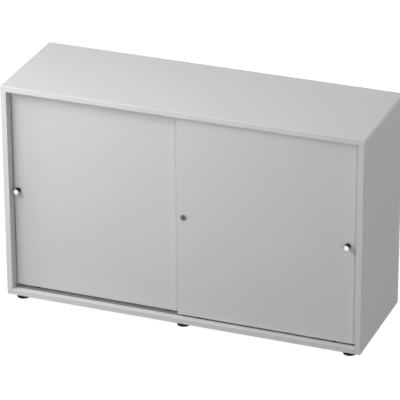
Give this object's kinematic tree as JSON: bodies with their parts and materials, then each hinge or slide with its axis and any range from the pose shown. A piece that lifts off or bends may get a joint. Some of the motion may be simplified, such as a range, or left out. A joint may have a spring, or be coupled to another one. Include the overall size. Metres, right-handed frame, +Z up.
{
  "type": "sliding door cabinet",
  "caption": "Low office cabinet with flat sliding doors that pass each other, round knobs, a cylinder lock, shelves behind and levelling feet below.",
  "frame": {"origin": "on the floor, under the middle of the carcass", "axes": "+Z up, front with the doors towards -Y, +X to the right seen from the front"},
  "size_m": [1.2, 0.387, 0.745],
  "materials": {
    "melamine_carcass": "light grey melamine-faced chipboard, fine matt texture",
    "abs_edging": "light grey ABS edging, satin",
    "melamine_back": "light grey melamine-faced back board, matt",
    "melamine_door": "light grey melamine-faced door board, matt",
    "beech_dowel": "fluted beech, glued",
    "zinc_steel": "bright zinc plating",
    "rail_plastic": "grey extruded plastic",
    "rubber_buffer": "soft dark rubber",
    "nickel_knob": "polished nickel",
    "nickel_lock": "matt nickel",
    "acetal": "pale moulded acetal",
    "black_plastic": "black moulded plastic"
  },
  "bodies": {
    "carcass": {"top_panel": "melamine_carcass", "top_panel_edging": "abs_edging", "bottom_panel": "melamine_carcass", "bottom_panel_edging": "abs_edging", "left_side_panel": "melamine_carcass", "left_side_edging": "abs_edging", "right_side_panel": "melamine_carcass", "right_side_edging": "abs_edging", "centre_partition": "melamine_carcass", "centre_partition_edging": "abs_edging", "back_panel": "melamine_back", "carcass_dowels": "beech_dowel", "left_shelf": "melamine_carcass", "left_shelf_edging": "abs_edging", "right_shelf": "melamine_carcass", "right_shelf_edging": "abs_edging", "shelf_pins": "zinc_steel", "bottom_running_rail": "rail_plastic", "top_guide_rail": "rail_plastic", "rail_screws": "zinc_steel", "door_buffers": "rubber_buffer", "foot_sockets": "black_plastic"},
    "left_door": {"left_door_panel": "melamine_door", "left_door_edging": "abs_edging", "left_knob": "nickel_knob", "left_knob_screw": "zinc_steel", "left_top_guides": "acetal", "left_runner_housings": "acetal", "left_runner_axles": "zinc_steel", "left_runner_screws": "zinc_steel", "lock_striker": "zinc_steel", "lock_striker_screws": "zinc_steel"},
    "right_door": {"right_door_panel": "melamine_door", "right_door_edging": "abs_edging", "right_knob": "nickel_knob", "right_knob_screw": "zinc_steel", "right_top_guides": "acetal", "right_runner_housings": "acetal", "right_runner_axles": "zinc_steel", "right_runner_screws": "zinc_steel", "lock_housing": "nickel_lock"},
    "lock": {"lock_plug": "nickel_lock", "lock_tongue": "zinc_steel", "lock_tongue_screw": "zinc_steel"},
    "left_wheel_left": {"left_wheel_left": "acetal"},
    "left_wheel_right": {"left_wheel_right": "acetal"},
    "right_wheel_left": {"right_wheel_left": "acetal"},
    "right_wheel_right": {"right_wheel_right": "acetal"},
    "front_left_foot": {"front_left_foot_pad": "black_plastic", "front_left_foot_stem": "zinc_steel"},
    "front_middle_foot": {"front_middle_foot_pad": "black_plastic", "front_middle_foot_stem": "zinc_steel"},
    "front_right_foot": {"front_right_foot_pad": "black_plastic", "front_right_foot_stem": "zinc_steel"},
    "back_left_foot": {"back_left_foot_pad": "black_plastic", "back_left_foot_stem": "zinc_steel"},
    "back_middle_foot": {"back_middle_foot_pad": "black_plastic", "back_middle_foot_stem": "zinc_steel"},
    "back_right_foot": {"back_right_foot_pad": "black_plastic", "back_right_foot_stem": "zinc_steel"}
  },
  "joints": [
    {"name": "left_door_slide", "type": "slide", "parent": "carcass", "child": "left_door", "axis": [1, 0, 0], "range_m": [0, 0.539]},
    {"name": "right_door_slide", "type": "slide", "parent": "carcass", "child": "right_door", "axis": [1, 0, 0], "range_m": [-0.539, 0]},
    {"name": "lock_turn", "type": "hinge", "parent": "right_door", "child": "lock", "pos_m": [0.007, -0.1745, 0.381], "axis": [0, 1, 0], "range_deg": [0, 90]},
    {"name": "left_wheel_left_roll", "type": "hinge", "parent": "left_door", "child": "left_wheel_left", "pos_m": [-0.509, -0.1525, 0.0433], "axis": [0, 1, 0], "continuous": true},
    {"name": "left_wheel_right_roll", "type": "hinge", "parent": "left_door", "child": "left_wheel_right", "pos_m": [-0.055, -0.1525, 0.0433], "axis": [0, 1, 0], "continuous": true},
    {"name": "right_wheel_left_roll", "type": "hinge", "parent": "right_door", "child": "right_wheel_left", "pos_m": [0.055, -0.1685, 0.0433], "axis": [0, 1, 0], "continuous": true},
    {"name": "right_wheel_right_roll", "type": "hinge", "parent": "right_door", "child": "right_wheel_right", "pos_m": [0.509, -0.1685, 0.0433], "axis": [0, 1, 0], "continuous": true},
    {"name": "front_left_foot_screw", "type": "slide", "parent": "carcass", "child": "front_left_foot", "axis": [0, 0, 1], "range_m": [-0.008, 0]},
    {"name": "front_middle_foot_screw", "type": "slide", "parent": "carcass", "child": "front_middle_foot", "axis": [0, 0, 1], "range_m": [-0.008, 0]},
    {"name": "front_right_foot_screw", "type": "slide", "parent": "carcass", "child": "front_right_foot", "axis": [0, 0, 1], "range_m": [-0.008, 0]},
    {"name": "back_left_foot_screw", "type": "slide", "parent": "carcass", "child": "back_left_foot", "axis": [0, 0, 1], "range_m": [-0.008, 0]},
    {"name": "back_middle_foot_screw", "type": "slide", "parent": "carcass", "child": "back_middle_foot", "axis": [0, 0, 1], "range_m": [-0.008, 0]},
    {"name": "back_right_foot_screw", "type": "slide", "parent": "carcass", "child": "back_right_foot", "axis": [0, 0, 1], "range_m": [-0.008, 0]}
  ],
  "couplings": [
    {"joint": "left_wheel_left_roll", "follows": "left_door_slide", "rad_per_m": 83.333},
    {"joint": "left_wheel_right_roll", "follows": "left_door_slide", "rad_per_m": 83.333},
    {"joint": "right_wheel_left_roll", "follows": "right_door_slide", "rad_per_m": 83.333},
    {"joint": "right_wheel_right_roll", "follows": "right_door_slide", "rad_per_m": 83.333}
  ]
}
